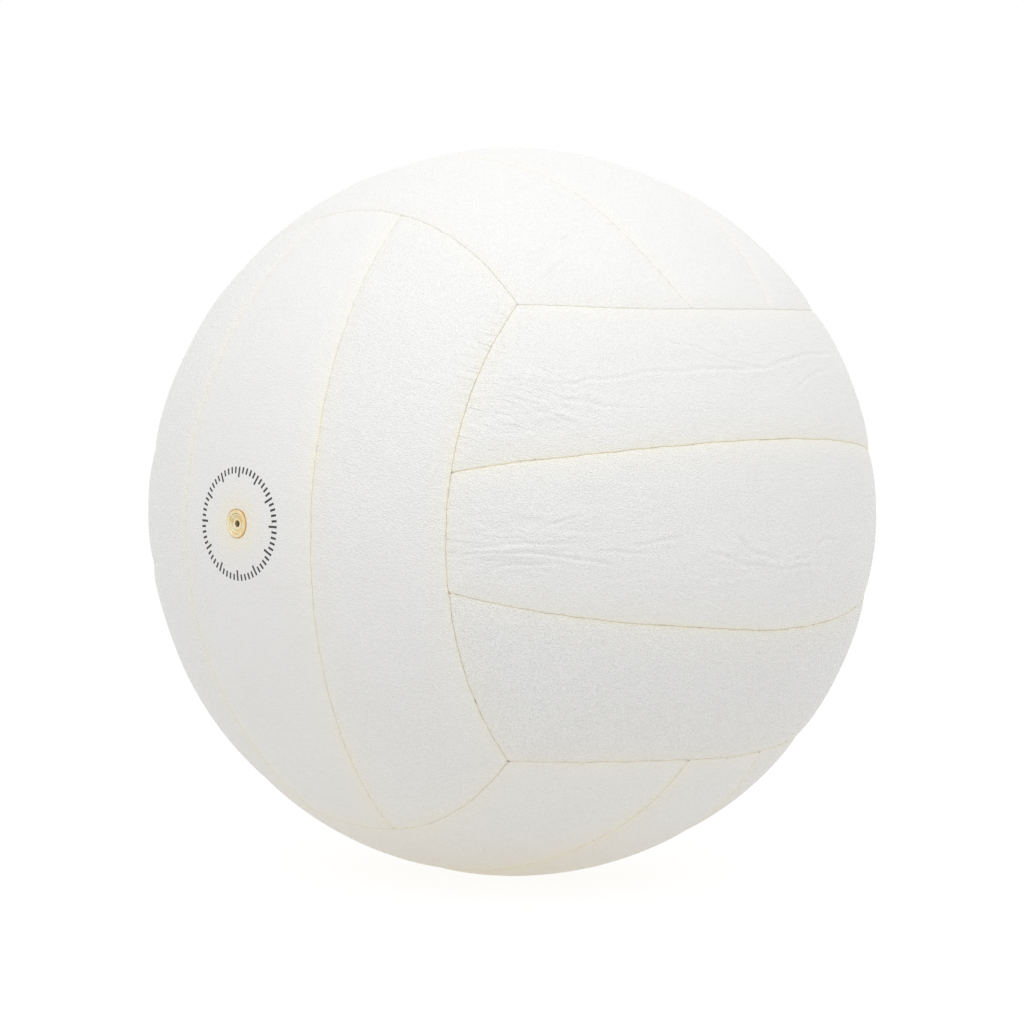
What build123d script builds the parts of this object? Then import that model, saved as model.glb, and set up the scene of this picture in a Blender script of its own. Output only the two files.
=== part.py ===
from build123d import *
from math import acos, cos, degrees, radians, sin, sqrt
import os

# Stitched volleyball: six groups of three strips round a rubber bladder with a pull-out valve core.
# Origin at the ball's centre, +Z up, the valve on -Y. Millimetres.

# Cover
BALL_DIAMETER = 210.0
SKIN_THICKNESS = 1.2
FOAM_THICKNESS = 3.0
LINING_THICKNESS = 0.6
EDGE_ROUNDING = 1.6
STRIP_SEAM_TILT = 14.2
SEAM_GAP = 0.3
GLUE_LINE = 0.1

# Seam thread
THREAD_DIAMETER = 1.0
THREAD_DEPTH = 2.9
THREAD_CLEARANCE = 0.05

# Bladder
BLADDER_WALL = 0.8
BLADDER_CLEARANCE = 0.15

# Valve
NOSE_DIAMETER = 7.6
NOSE_RIM_HEIGHT = 0.25
CORE_DIAMETER = 5.6
CORE_LENGTH = 17.0
CORE_CLEARANCE = 0.05
CORE_FLOOR_CLEARANCE = 0.1
CORE_LEAD_CHAMFER = 0.6
DISH_DEPTH = 0.5
DISH_DIAMETER = 4.6
BOSS_DIAMETER = 3.2
BOSS_HEIGHT = 0.3
FACE_ROUNDING = 0.12
NEEDLE_HOLE_DIAMETER = 1.8
NEEDLE_HOLE_DEPTH = 11.0
SLIT_WIDTH = 0.2
SLIT_LENGTH = 3.0
STEM_DIAMETER = 12.0
STEM_FLOOR = 2.0
AIR_HOLE_DIAMETER = 3.6
FLANGE_DIAMETER = 30.0
FLANGE_THICKNESS = 1.2
PATCH_DIAMETER = 38.0
PATCH_THICKNESS = 0.4
HOLE_CLEARANCE = 0.15

# Radii of the layers, from the outside in
BALL_RADIUS = BALL_DIAMETER / 2
SKIN_INNER = BALL_RADIUS - SKIN_THICKNESS
FOAM_OUTER = SKIN_INNER - GLUE_LINE
FOAM_INNER = FOAM_OUTER - FOAM_THICKNESS
LINING_OUTER = FOAM_INNER - GLUE_LINE
LINING_INNER = LINING_OUTER - LINING_THICKNESS
PATCH_OUTER = LINING_INNER - GLUE_LINE
PATCH_INNER = PATCH_OUTER - PATCH_THICKNESS
BLADDER_OUTER = PATCH_INNER - BLADDER_CLEARANCE
BLADDER_INNER = BLADDER_OUTER - BLADDER_WALL
FLANGE_OUTER = BLADDER_INNER - GLUE_LINE
FLANGE_INNER = FLANGE_OUTER - FLANGE_THICKNESS

# Seams between groups: each follows a wall sphere that crosses the ball at right angles, centred on an axis.
# These two sizes make three such seams meet at each corner of the layout.
WALL_CENTRE = BALL_RADIUS * sqrt(3)
WALL_RADIUS = BALL_RADIUS * sqrt(2)
BEYOND_BALL = 2 * BALL_DIAMETER
HALF_GAP = SEAM_GAP / 2
NOSE_HOLE_RADIUS = NOSE_DIAMETER / 2 + HOLE_CLEARANCE
THREAD_LINE = BALL_RADIUS - THREAD_DEPTH

# Group name: outward centre, direction across the strips, names of the two side strips
GROUPS = {
    "front": (Vector(0, -1, 0), Vector(1, 0, 0), ("left", "right")),
    "back": (Vector(0, 1, 0), Vector(1, 0, 0), ("left", "right")),
    "right": (Vector(1, 0, 0), Vector(0, 0, 1), ("lower", "upper")),
    "left": (Vector(-1, 0, 0), Vector(0, 0, 1), ("lower", "upper")),
    "top": (Vector(0, 0, 1), Vector(0, 1, 0), ("front", "back")),
    "bottom": (Vector(0, 0, -1), Vector(0, 1, 0), ("front", "back")),
}


def group_plane(name):
    """Frame of a group: local Z outward, local Y across the strips, local X along them."""
    centre, across, _ = GROUPS[name]
    return Plane(origin=(0, 0, 0), x_dir=across.cross(centre), z_dir=centre)


def placed_sphere(radius, centre, pole, seam):
    """Sphere whose pole and seam line are turned away from the faces in use."""
    return Plane(origin=centre, x_dir=seam, z_dir=pole) * Sphere(radius)


def ball_shell(outer, inner):
    solid, hollow = (placed_sphere(radius, (0, 0, 0), (1, 0, 0), (0, 0, -1)) for radius in (outer, inner))
    return solid - hollow


def group_shell(outer, inner, setback):
    """Round shell of one group, held inside the wall sphere at the ends of its strips."""
    return ball_shell(outer, inner) & placed_sphere(WALL_RADIUS - setback, (0, 0, WALL_CENTRE), (0, 1, 0), (0, 0, 1))


def beyond_side(setback):
    """Everything beyond the group's long edge on the +Y side."""
    return placed_sphere(WALL_RADIUS + setback, (0, WALL_CENTRE, 0), (1, 0, 0), (0, 0, -1))


def seam_circle(radius):
    """Height on its axis and ring radius of a group seam at a distance from the ball's centre."""
    height = (radius**2 + WALL_CENTRE**2 - WALL_RADIUS**2) / (2 * WALL_CENTRE)
    return height, sqrt(radius**2 - height**2)


def strip_seam_normal(side):
    """Unit normal of the seam plane between the middle strip and a side strip, pointing outwards."""
    tilt = radians(STRIP_SEAM_TILT)
    return Vector(0, side * cos(tilt), -sin(tilt))


def beyond_plane(normal, offset):
    """Half space on the normal's side of a plane that lies offset along that normal."""
    block = Box(BEYOND_BALL, BEYOND_BALL, BEYOND_BALL, align=(Align.CENTER, Align.CENTER, Align.MIN))
    return Plane(origin=normal * offset, z_dir=normal) * block


def middle_strip(outer, inner, setback):
    strip = group_shell(outer, inner, setback)
    for side in (-1, 1):
        strip -= beyond_plane(strip_seam_normal(side), -setback)
    return strip


def side_strip(outer, inner, setback):
    inwards = strip_seam_normal(1) * -1
    return group_shell(outer, inner, setback) - beyond_plane(inwards, -setback) - beyond_side(setback)


def rounded(strip, outer):
    """Round the edges that lie on the outer sphere."""
    rim = [
        edge for edge in strip.edges()
        if all(abs((edge @ t).length - outer) < 0.001 for t in (0, 0.5, 1))
    ]
    return fillet(rim, EDGE_ROUNDING)


def group_seam_ring(axis, radius):
    """Ring that follows a seam between groups, round an axis of the group."""
    height, ring_radius = seam_circle(THREAD_LINE)
    return Plane(origin=axis * height, z_dir=axis) * Torus(ring_radius, radius)


def strip_seam_ring(side, radius):
    """Ring that follows the seam between two strips of the group."""
    return Plane(origin=(0, 0, 0), z_dir=strip_seam_normal(side)) * Torus(THREAD_LINE, radius)


def skin(strip, seam_rings):
    """Leather panel with turned-in edges, open underneath, grooved for the seam thread."""
    turned_depth = FOAM_INNER
    below = turned_depth - SKIN_THICKNESS
    panel = rounded(strip(BALL_RADIUS, turned_depth, HALF_GAP), BALL_RADIUS)
    panel -= strip(SKIN_INNER, below, HALF_GAP + SKIN_THICKNESS)
    for ring in seam_rings:
        panel -= ring
    return panel


def foam(strip):
    return strip(FOAM_OUTER, FOAM_INNER, HALF_GAP + SKIN_THICKNESS + GLUE_LINE)


def lining(strip):
    return strip(LINING_OUTER, LINING_INNER, HALF_GAP)


def seam_thread(plane, radius, height, half_angle):
    """Cord that follows an arc round a plane's Z axis, centred on its X axis."""
    bead = Plane.XZ * Pos(radius, height) * Circle(THREAD_DIAMETER / 2)
    arc = revolve(bead, Axis.Z, revolution_arc=2 * half_angle)
    return plane * Rot(0, 0, -half_angle) * arc


def end_gap_angle(radius):
    """Angle kept free at a thread's end so that it stops clear of the thread it meets."""
    return degrees((THREAD_DIAMETER + 2 * SEAM_GAP) / radius)


def edge_threads():
    """The two long-edge seams of a group, each a quarter turn from corner to corner."""
    height, ring_radius = seam_circle(THREAD_LINE)
    half_angle = 45 - end_gap_angle(ring_radius)
    threads = []
    for side in (-1, 1):
        plane = Plane(origin=(0, 0, 0), x_dir=(0, 0, 1), z_dir=(0, side, 0))
        threads.append(seam_thread(plane, ring_radius, height, half_angle))
    return threads


def strip_threads():
    """The two seams between the strips of a group."""
    height, _ = seam_circle(THREAD_LINE)
    tilt = radians(STRIP_SEAM_TILT)
    reach = degrees(acos(height / (THREAD_LINE * cos(tilt))))
    half_angle = reach - end_gap_angle(THREAD_LINE)
    threads = []
    for side in (-1, 1):
        middle = Vector(0, side * sin(tilt), cos(tilt))
        plane = Plane(origin=(0, 0, 0), x_dir=middle, z_dir=strip_seam_normal(side))
        threads.append(seam_thread(plane, THREAD_LINE, 0, half_angle))
    return threads


def turned(points):
    """Solid turned round the valve axis from (radius, height) points."""
    return revolve(Plane.XZ * make_face(Polyline(*points, close=True)), Axis.Z)


def softened(solid, lowest, rounding):
    """Round the turned edges that lie at a height on the valve axis or above it."""
    edges = [edge for edge in solid.edges().filter_by(GeomType.CIRCLE) if edge.center().Z > lowest - rounding]
    return fillet(edges, rounding)


def round_cutting(diameter, outer, inner):
    """Round piece cut out of a ball shell on the valve axis."""
    column = Cylinder(diameter / 2, BEYOND_BALL, align=(Align.CENTER, Align.CENTER, Align.MIN))
    return ball_shell(outer, inner) & column


def nose_hole():
    return Cylinder(NOSE_HOLE_RADIUS, BEYOND_BALL, align=(Align.CENTER, Align.CENTER, Align.MIN))


def valve_heights():
    """Heights on the valve axis: rim top, core face, bore floor, stem end."""
    rim_top = sqrt(BALL_RADIUS**2 - (NOSE_DIAMETER / 2) ** 2)
    core_face = rim_top - NOSE_RIM_HEIGHT
    bore_floor = core_face - CORE_LENGTH - CORE_FLOOR_CLEARANCE
    return rim_top, core_face, bore_floor, bore_floor - STEM_FLOOR


def valve_seat():
    """Bonded stem: nose through the cover, flange under the bladder wall, bore for the core."""
    rim_top, _, bore_floor, stem_end = valve_heights()
    bore = CORE_DIAMETER / 2 + CORE_CLEARANCE
    nose = NOSE_DIAMETER / 2
    seat = turned([(0, FLANGE_INNER), (nose, FLANGE_INNER), (nose, rim_top), (0, rim_top)])
    stem_top = sqrt(FLANGE_OUTER**2 - (STEM_DIAMETER / 2) ** 2)
    stem = turned([(0, stem_end), (STEM_DIAMETER / 2, stem_end), (STEM_DIAMETER / 2, stem_top), (0, stem_top)])
    seat += round_cutting(FLANGE_DIAMETER, FLANGE_OUTER, FLANGE_INNER) + stem
    seat -= turned([(0, bore_floor), (bore, bore_floor), (bore, rim_top), (0, rim_top)])
    air_hole = AIR_HOLE_DIAMETER / 2
    seat -= turned([(0, stem_end), (air_hole, stem_end), (air_hole, bore_floor), (0, bore_floor)])
    return softened(seat, rim_top, (nose - bore) / 3)


def valve_core():
    """Plug with a dished face, a boss round the needle hole and a self-sealing slit below it."""
    _, face, _, _ = valve_heights()
    radius = CORE_DIAMETER / 2
    foot = face - CORE_LENGTH
    dish = DISH_DIAMETER / 2
    dish_floor = face - DISH_DEPTH
    boss = BOSS_DIAMETER / 2
    boss_top = dish_floor + BOSS_HEIGHT
    plug = turned([
        (0, foot), (radius - CORE_LEAD_CHAMFER, foot), (radius, foot + CORE_LEAD_CHAMFER), (radius, face),
        (dish, face), (dish, dish_floor), (boss, dish_floor), (boss, boss_top), (0, boss_top),
    ])
    plug = softened(plug, dish_floor, FACE_ROUNDING)
    hole_floor = boss_top - NEEDLE_HOLE_DEPTH
    hole = NEEDLE_HOLE_DIAMETER / 2
    plug -= turned([(0, hole_floor), (hole, hole_floor), (hole, boss_top), (0, boss_top)])
    slit = Box(SLIT_LENGTH, SLIT_WIDTH, hole_floor - foot, align=(Align.CENTER, Align.CENTER, Align.MIN))
    return plug - Pos(0, 0, foot) * slit


def save(name, shape):
    shape.label = name
    export_step(shape, f"parts/{name}.step")


def save_panels():
    """Skin, foam and lining of all eighteen panels, from one middle and one side strip."""
    groove = THREAD_DIAMETER / 2 + THREAD_CLEARANCE
    end_groove = group_seam_ring(Vector(0, 0, 1), groove)
    middle_grooves = [end_groove, strip_seam_ring(-1, groove), strip_seam_ring(1, groove)]
    side_grooves = [end_groove, strip_seam_ring(1, groove), group_seam_ring(Vector(0, 1, 0), groove)]
    layers = {
        "panel": (skin(middle_strip, middle_grooves), skin(side_strip, side_grooves)),
        "foam": (foam(middle_strip), foam(side_strip)),
        "lining": (lining(middle_strip), lining(side_strip)),
    }
    half_turn = Rot(0, 0, 180)
    for layer, (middle, side) in layers.items():
        for group, (_, _, (low_side, high_side)) in GROUPS.items():
            plane = group_plane(group)
            centre_strip = middle - nose_hole() if group == "front" else middle
            save(f"{layer}_{group}_middle", plane * centre_strip)
            save(f"{layer}_{group}_{high_side}", plane * side)
            save(f"{layer}_{group}_{low_side}", plane * half_turn * side)


def save_threads():
    for name, threads in {"group_seam_thread": edge_threads(), "strip_seam_thread": strip_threads()}.items():
        save(name, Compound(children=[group_plane(group) * thread for group in GROUPS for thread in threads]))


def save_valve_and_bladder():
    front = group_plane("front")
    save("bladder", front * (ball_shell(BLADDER_OUTER, BLADDER_INNER) - nose_hole()))
    save("valve_patch", front * (round_cutting(PATCH_DIAMETER, PATCH_OUTER, PATCH_INNER) - nose_hole()))
    save("valve_seat", front * valve_seat())
    save("valve_core", front * valve_core())


os.makedirs("parts", exist_ok=True)
save_panels()
save_threads()
save_valve_and_bladder()
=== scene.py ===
import math

import bmesh
import bpy
import numpy as np
from mathutils import Matrix, Vector, noise


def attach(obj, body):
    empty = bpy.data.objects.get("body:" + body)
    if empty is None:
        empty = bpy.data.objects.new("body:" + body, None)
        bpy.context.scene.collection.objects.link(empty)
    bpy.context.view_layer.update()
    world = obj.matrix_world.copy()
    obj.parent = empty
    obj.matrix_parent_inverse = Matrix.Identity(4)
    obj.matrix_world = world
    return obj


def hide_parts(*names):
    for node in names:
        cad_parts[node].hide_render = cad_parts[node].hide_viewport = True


# Looks of a stitched volleyball in a plain studio: crowned leather panels and a rubber valve
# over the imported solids.
# Lengths are in metres and angles in radians unless a name says otherwise.

# Ball and panel layout
BALL_RADIUS = 0.105
SKIN_THICKNESS = 0.0012
SKIN_INNER_RADIUS = BALL_RADIUS - SKIN_THICKNESS
TURNED_IN_RADIUS = 0.10265
GROUP_EDGE_COSINE = 1 / math.sqrt(3)
GROUP_EDGE_ANGLE = math.acos(GROUP_EDGE_COSINE)
STRIP_SEAM_TILT = math.radians(14.2)
CORNER_TILT = math.radians(45)
CORNER_REACH = math.asin(GROUP_EDGE_COSINE)
GROUPS = {
    "front": ((0, -1, 0), (1, 0, 0), ("left", "right")),
    "back": ((0, 1, 0), (1, 0, 0), ("left", "right")),
    "right": ((1, 0, 0), (0, 0, 1), ("lower", "upper")),
    "left": ((-1, 0, 0), (0, 0, 1), ("lower", "upper")),
    "top": ((0, 0, 1), (0, 1, 0), ("front", "back")),
    "bottom": ((0, 0, -1), (0, 1, 0), ("front", "back")),
}

# Noise: how far apart two seeds read it, and the levels between which a cloud of it fades
NOISE_LEVEL_STEP = 7.31
CLOUD_LEVELS = (0.38, 0.62)

# Seam cross-section
SEAM_HALF_GAP = 0.000006
EDGE_ROUNDING = 0.00022
SEAM_DIP = 0.00075
SEAM_DIP_WIDTH = 0.0042
CORNER_BLEND = 0.0003
STITCHES_PER_QUARTER = 36
STITCH_PITCH = 0.0046
STITCH_PUCKER = 0.00007
STITCH_REACH = 0.0012
SEAM_WANDER = 0.00022
SEAM_WANDER_SIZE = 0.0055
SEAM_WANDER_REACH = 0.003
SEAM_WANDER_SEED = 1
FINE_WANDER_SHARE = 0.5
FINE_WANDER_SCALE = 3.1

# Places on the ball where the sewn seams lie off the regular layout, each with its push in millimetres
SEAM_PUSHES_MM = (
    ((0.61, -0.77, 0.17), (0, 0, 1.2)),
    ((0.92, -0.32, -0.23), (0, 0, 0.9)),
    ((0.67, -0.45, -0.59), (-0.6, 0, -0.6)),
    ((0.82, 0.05, -0.57), (-1.7, 0, -1.7)),
    ((0.27, -0.58, -0.77), (-0.9, 2.3, -1.5)),
    ((0.65, -0.18, -0.74), (0, 3.0, -1.0)),
    ((0.68, 0.22, -0.70), (-0.6, 2.4, -0.6)),
    ((0.60, 0.55, -0.58), (-0.8, -0.8, -1.6)),
    ((0.70, -0.17, 0.69), (-0.4, -3.4, -0.4)),
)
SEAM_PUSH_REACH = 0.028

# Grid lines of a panel, counted from its seams, and the shares of depth of its turned-in edge
EDGE_LINES = (0, 0.00002, 0.00006, 0.00012, 0.0002, 0.0003, 0.00048, 0.0008, 0.0013, 0.0019, 0.0027, 0.0036)
TURNED_IN_SHARES = (1.0, 0.5, 0.12)
GRID_SPACING = 0.0008
WORN_GRID_SPACING = 0.0005
MIDDLE_STRIP_SIZE = (0.196, 0.052)
SIDE_STRIP_SIZE = (0.165, 0.040)

# How strongly a panel is creased, and the long creases that a few panels have.
# A size is a feature's length along and across its strip. A band is its middle and width across it.
# A long crease is a list of places along and across its strip, in millimetres.
DEFAULT_CREASING = 0.35
CREASING = {
    "right_upper": 1.0,
    "right_middle": 0.9,
    "right_lower": 0.25,
    "front_middle": 0.2,
    "top_front": 0.5,
}
CREASED_BANDS = {"right_upper": (0.046, 0.014), "right_middle": (-0.004, 0.011)}
CREASING_OFF_BAND = 0.15
WORN_PATCH_SIZE = (0.055, 0.028)
WORN_PATCH_LEVELS = (-0.25, 0.3)
LONG_CREASES_MM = {
    "right_upper": (
        ((-80, 58), (-68, 52), (-60, 49), (-40, 48), (-20, 46), (2, 46), (18, 50), (42, 55)),
        ((-84, 59), (-80, 52), (-73, 45)),
        ((-77, 50), (-73, 44), (-68, 35)),
        ((-75, 49), (-69, 41), (-63, 36), (-60, 32)),
        ((-68, 50), (-65, 45), (-59, 44), (-53, 37)),
        ((-64, 45), (-54, 40), (-44, 38)),
        ((-32, 57), (-22, 53), (-12, 48), (0, 46)),
        ((8, 39), (20, 44), (33, 48)),
    ),
    "right_middle": (
        ((-98, -10), (-93, -8), (-78, -6), (-65, -7), (-53, -9)),
        ((-88, -4), (-80, -3), (-64, -2)),
        ((-90, -16), (-84, -11), (-70, -9)),
        ((-76, 1), (-73, 4), (-68, 6), (-62, 7)),
        ((-63, -5), (-56, -4), (-45, -5)),
        ((-54, -2), (-46, -2), (-34, 0)),
        ((-32, -5), (-24, -5), (-16, -8), (1, -9), (18, -9)),
        ((-23, 2), (-15, -4), (-9, -6), (7, -7), (16, -2), (28, -2)),
    ),
    "front_right": (
        ((-42, 48), (-40, 56), (-38, 64)),
    ),
    "top_front": (
        ((57, 67), (59, 62), (60, 56), (61, 50), (63, 39)),
        ((66, 74), (66, 64), (67, 53)),
        ((55, 39), (56, 33), (57, 28)),
    ),
}
LONG_CREASE_DEPTH = 0.0002
LONG_CREASE_STRENGTH = {"top_front": 1.5, "right_middle": 1.4, "right_upper": 1.25}
LONG_CREASE_WIDTH = 0.0006
LONG_CREASE_FADE = 0.006
LONG_CREASE_WOBBLE = 0.0008
LONG_CREASE_WOBBLE_SIZE = (0.008, 0.02)
BANK_SHARE = 0.5
BANK_WIDTH_SHARE = 2.8

# Relief of the leather between the long creases
RELIEF_START = (0.0002, 0.004)
FOLD_DEPTH = 0.00016
FOLD_SIZE = (0.030, 0.0085)
FOLD_BEND = (0.009, 0.00765)
FOLD_BEND_SIZE = (0.045, 0.030)
FINE_FOLD_SHARE = 0.35
FINE_FOLD_SIZE = (0.011, 0.005)
FOLD_BANK_LEVEL = 0.3
FOLD_GROOVE_LEVEL = 0.11
SMALL_WAVE_DEPTH = 0.00006
SMALL_WAVE_SIZE = (0.012, 0.008)
LARGE_WAVE_DEPTH = 0.00012
LARGE_WAVE_SIZE = (0.04, 0.03)
RIPPLE_DEPTH = 0.00008
RIPPLE_SIZE = (0.0035, 0.009)
RIPPLE_FADE = 0.005

# Wrinkles in the material: their slant at a strip's end and their drift
WRINKLE_SLANT = {"right_upper": 0.75}
WRINKLE_SLANT_END = -0.045
WRINKLE_DRIFT = 0.004
WRINKLE_DRIFT_SIZE = (0.03, 0.02)
WRINKLE_SCALES = (115.0, 420.0)
WRINKLE_DEPTH = 0.0006

# Gathers in the material, fine beside every seam and strong at a few places on the ball
DEFAULT_GATHERING = 0.3
GATHERED_PLACES = (
    (0.56, -0.66, 0.50),
    (0.53, -0.74, 0.42),
    (0.44, -0.58, -0.69),
    (0.70, -0.17, -0.70),
)
GATHERED_REACH = 0.013
GATHERED_BAND = (0.0003, 0.009)
GATHERED_SLANT = -0.25
GATHERED_SCALES = (800.0, 110.0)
GATHERED_DEPTH = 0.00045

# Cream stains beside the seams, fainter towards the top; below the middle the cream reaches wider, which is
# painted warm bounce light from the floor on top of the stain.
# The heights at which it fades towards the top are shares of the ball's radius.
DEFAULT_STAINING = 0.7
STAINING = {"right": 1.0, "front": 1.0, "bottom": 1.0, "top": 0.65}
STAIN_REACH = 0.0019
# Wider reach low down: painted warm bounce light from the floor
LOW_STAIN_AND_BOUNCE_REACH = 0.0048
LOW_STAIN_AND_BOUNCE_HEIGHTS = (-0.075, -0.015)
HIGH_FADE_HEIGHTS = (0.1, 0.65)
HIGH_FADE_SHARE = 0.55
STAIN_COLOUR = (0.955, 0.915, 0.76, 1)
STAIN_CLOUD_SCALE = 14.0
STAIN_CLOUD_SHARES = (0.75, 1.1)
STAIN_GRAIN_SHARES = (0.95, 0.25)

# Line in a seam, with dark specks in it, and at its ends a dark dot of painted shade in the small hole
# where seams meet
SEAM_LINE_SHARE = {"front": 0.6}
SEAM_LINE_DENSITY = 0.28
SEAM_LINE_WIDTH = 0.0005
SEAM_LINE_RAGGED = 0.0004
SEAM_LINE_RAGGED_SCALE = 620.0
SEAM_GOLD = (0.91, 0.78, 0.48, 1)
SEAM_BROWN = (0.56, 0.46, 0.28, 1)
SEAM_BROWN_SCALE = 240.0
SEAM_BROWN_LEVELS = (0.44, 0.70)
SPECK_SCALE = 420.0
SPECK_LEVELS = (0.69, 0.72)
SPECK_DENSITY = 0.6
SPECK_BAND = (0.0001, 0.0004)
# Band of the dark dot of painted shade in the small hole where seams meet
CORNER_HOLE_SHADE_BAND = (0.0002, 0.0006)
SPECK_AND_HOLE_SHADE_COLOUR = (0.26, 0.20, 0.12, 1)

# Grain and white of the leather; a scale counts features in a metre
DEFAULT_GRAINING = 1.0
GRAINING = {
    "right_lower": 1.56,
    "right_middle": 1.07,
    "right_upper": 0.98,
    "front_middle": 0.5,
    "top_front": 0.8,
    "top_middle": 0.6,
    "top_back": 0.6,
    "bottom_front": 0.8,
    "bottom_middle": 0.8,
}
GRAIN_STRETCH = (0.5, 0.85, 1.0)
GRAIN_SCALE = 2400.0
GRAIN_LEVELS = (0.3, 0.7)
GRAIN_DEPTH = 0.0003
PORE_SCALE = 3200.0
PORE_DEPTH = 0.00008
PEBBLE_SCALE = 1300.0
PEBBLE_EDGE = 0.25
PEBBLE_DEPTH = 0.00005
# Share of the raised white left between the pebbles: painted shade in their hollows
PEBBLE_HOLLOW_SHADE_SHARE = 0.5
LEATHER_ROUGHNESS = (0.62, 0.48)
LEATHER_SPECULAR = 0.65
# The hollows' darker white is painted shade; the raised white is the leather's own
HOLLOW_SHADE_WHITE = (0.795, 0.790, 0.775, 1)
RAISED_WHITE = (0.990, 0.987, 0.976, 1)
RAISED_SHARE = 0.36
MOTTLE_SCALE = 55.0
MOTTLE_LEVELS = (0.31, 0.41)

# Values that the leather's material reads from the mesh
FEATURES = (
    "seam_distance",
    "corner_distance",
    "along_wrinkles",
    "across_wrinkles",
    "creasing",
    "staining",
    "graining",
    "gathering",
    "seam_line",
)

# Valve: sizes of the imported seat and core, and how the leather meets them
NOSE_RADIUS = 0.0038
CORE_RADIUS = 0.0028
CORE_CLEARANCE = 0.00005
DISH_RADIUS = 0.0023
BOSS_RADIUS = 0.0016
NEEDLE_HOLE_RADIUS = 0.0009
STEM_RADIUS = 0.006
AIR_HOLE_RADIUS = 0.0018
FLANGE_RADIUS = 0.015
FLANGE_OUTER_BALL = 0.09845
FLANGE_THICKNESS = 0.0012
RIM_HEIGHT = 0.104931
CORE_FACE_HEIGHT = RIM_HEIGHT - 0.00025
DISH_FLOOR_HEIGHT = CORE_FACE_HEIGHT - 0.0005
BOSS_HEIGHT = DISH_FLOOR_HEIGHT + 0.0003
NEEDLE_HOLE_FLOOR = BOSS_HEIGHT - 0.011
CORE_FOOT_HEIGHT = CORE_FACE_HEIGHT - 0.017
BORE_FLOOR_HEIGHT = CORE_FOOT_HEIGHT - 0.0001
STEM_END_HEIGHT = BORE_FLOOR_HEIGHT - 0.002
CORE_LEAD_CHAMFER = 0.0006
SLIT_SIZE = (0.0002, 0.003)
LATHE_SEGMENTS = 96
ROUNDING_POINTS = 6
FLANGE_POINTS = 6
SHARP_ANGLE = math.radians(50)
VALVE_HOLE_RADIUS = NOSE_RADIUS + 0.00003
VALVE_HOLE_ROUNDING = 0.00025
VALVE_DIMPLE = 0.00022
VALVE_DIMPLE_WIDTH = 0.0025
VALVE_WINDOW_HALF = 0.0095
VALVE_RING_STEP = 0.0004
VALVE_RING_SPREAD = 0.7
VALVE_SEAM_OFFSET = 0.0006

# Plain dial of ticks printed round the valve
DIAL_TICKS = 60
DIAL_LONG_EVERY = 5
DIAL_OUTER_RADIUS = 0.0153
DIAL_TICK_INNER = 0.0136
DIAL_LONG_INNER = 0.0125
DIAL_HALF_WIDTH = 0.0003
DIAL_SIDE_BLUR = 0.00008
DIAL_END_BLUR = 0.00005
DIAL_SIDE_ROUGHNESS = 0.00006
DIAL_INK = (0.028, 0.028, 0.03, 1)
VALVE_STAIN_RADIUS = 0.0125
VALVE_STAIN_SHARE = 0.5
VALVE_STAIN_COLOUR = (0.93, 0.86, 0.69, 1)

# Valve rubber
RUBBER_HONEY = (0.88, 0.70, 0.36, 1)
RUBBER_IVORY = (0.93, 0.83, 0.60, 1)
# Orange of the rim's outer edge: partly the rubber's own amber, partly painted shade of the gap round the
# rim
RUBBER_RIM_AND_GAP_SHADE = (0.78, 0.48, 0.16, 1)
# Painted shade inside the needle hole
RUBBER_HOLE_SHADE = (0.46, 0.36, 0.23, 1)
RUBBER_CLOUD_SCALE = 500.0
RUBBER_RELIEF = 0.00006
RUBBER_ROUGHNESS = (0.30, 0.45)
RIM_EDGE_INSET = (0.00022, 0.00005)
HOLE_EDGE_BLUR = 0.0001

# Materials inside the ball: dark and light colour, roughness and depth of the pattern
CLOTH_LOOK = ((0.58, 0.54, 0.45, 1), (0.76, 0.72, 0.62, 1), 0.9, 0.0001)
THREAD_LOOK = ((0.66, 0.60, 0.47, 1), (0.82, 0.78, 0.66, 1), 0.7, 0.00015)
FOAM_LOOK = ((0.82, 0.81, 0.74, 1), (0.88, 0.87, 0.81, 1), 0.85, 0.0001)
BLADDER_LOOK = ((0.015, 0.015, 0.016, 1), (0.03, 0.03, 0.032, 1), 0.55, 0.0002)
FOAM_CELL_SCALE = 900.0
FOAM_CELL_EDGE = 0.35
CLOTH_PITCH = 0.0008
THREAD_PITCH = 0.0006
THREAD_FUZZ_SCALE = 900.0
BLADDER_CLOUD_SCALE = 160.0

# Camera and stage
CAMERA_DISTANCE = 9.08 * BALL_RADIUS
CAMERA_AZIMUTH = math.radians(44.68)
CAMERA_ELEVATION = math.radians(3.62)
CAMERA_ROLL = math.radians(1.2)
CAMERA_LENS = 115.5
SENSOR_WIDTH = 36.0
FLOOR_SIZE = 12.0
FLOOR_COLOUR = (0.22, 0.217, 0.21, 1)
FLOOR_GLOW = 0.58
FLOOR_WHITE = 0.27
# Warm glow of the floor near the ball, for light that the camera doesn't see directly or in gloss: painted
# warm bounce light
FLOOR_BOUNCE_COLOUR = (1, 0.9, 0.7, 1)
FLOOR_BOUNCE_REACH = 0.12
WORLD_LEVEL = 0.773
SOFTBOX_ELEVATION = math.radians(65)
SOFTBOX_DISTANCE = 1.6
SOFTBOX_WIDTH = 2.4
SOFTBOX_DEPTH = 1.0
SOFTBOX_SHARE = 0.47


def unit(vector):
    vector = np.asarray(vector, float)
    return vector / np.linalg.norm(vector)


def smooth_step(value, low, high):
    share = np.clip((value - low) / (high - low), 0, 1)
    return share * share * (3 - 2 * share)


def noise_at(along, across, size, seed):
    """Perlin noise over a strip, with features of a size along and across it."""
    level = seed * NOISE_LEVEL_STEP
    places = zip((along / size[0]).tolist(), (across / size[1]).tolist())
    return np.array([noise.noise((x, y, level)) for x, y in places])


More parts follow.
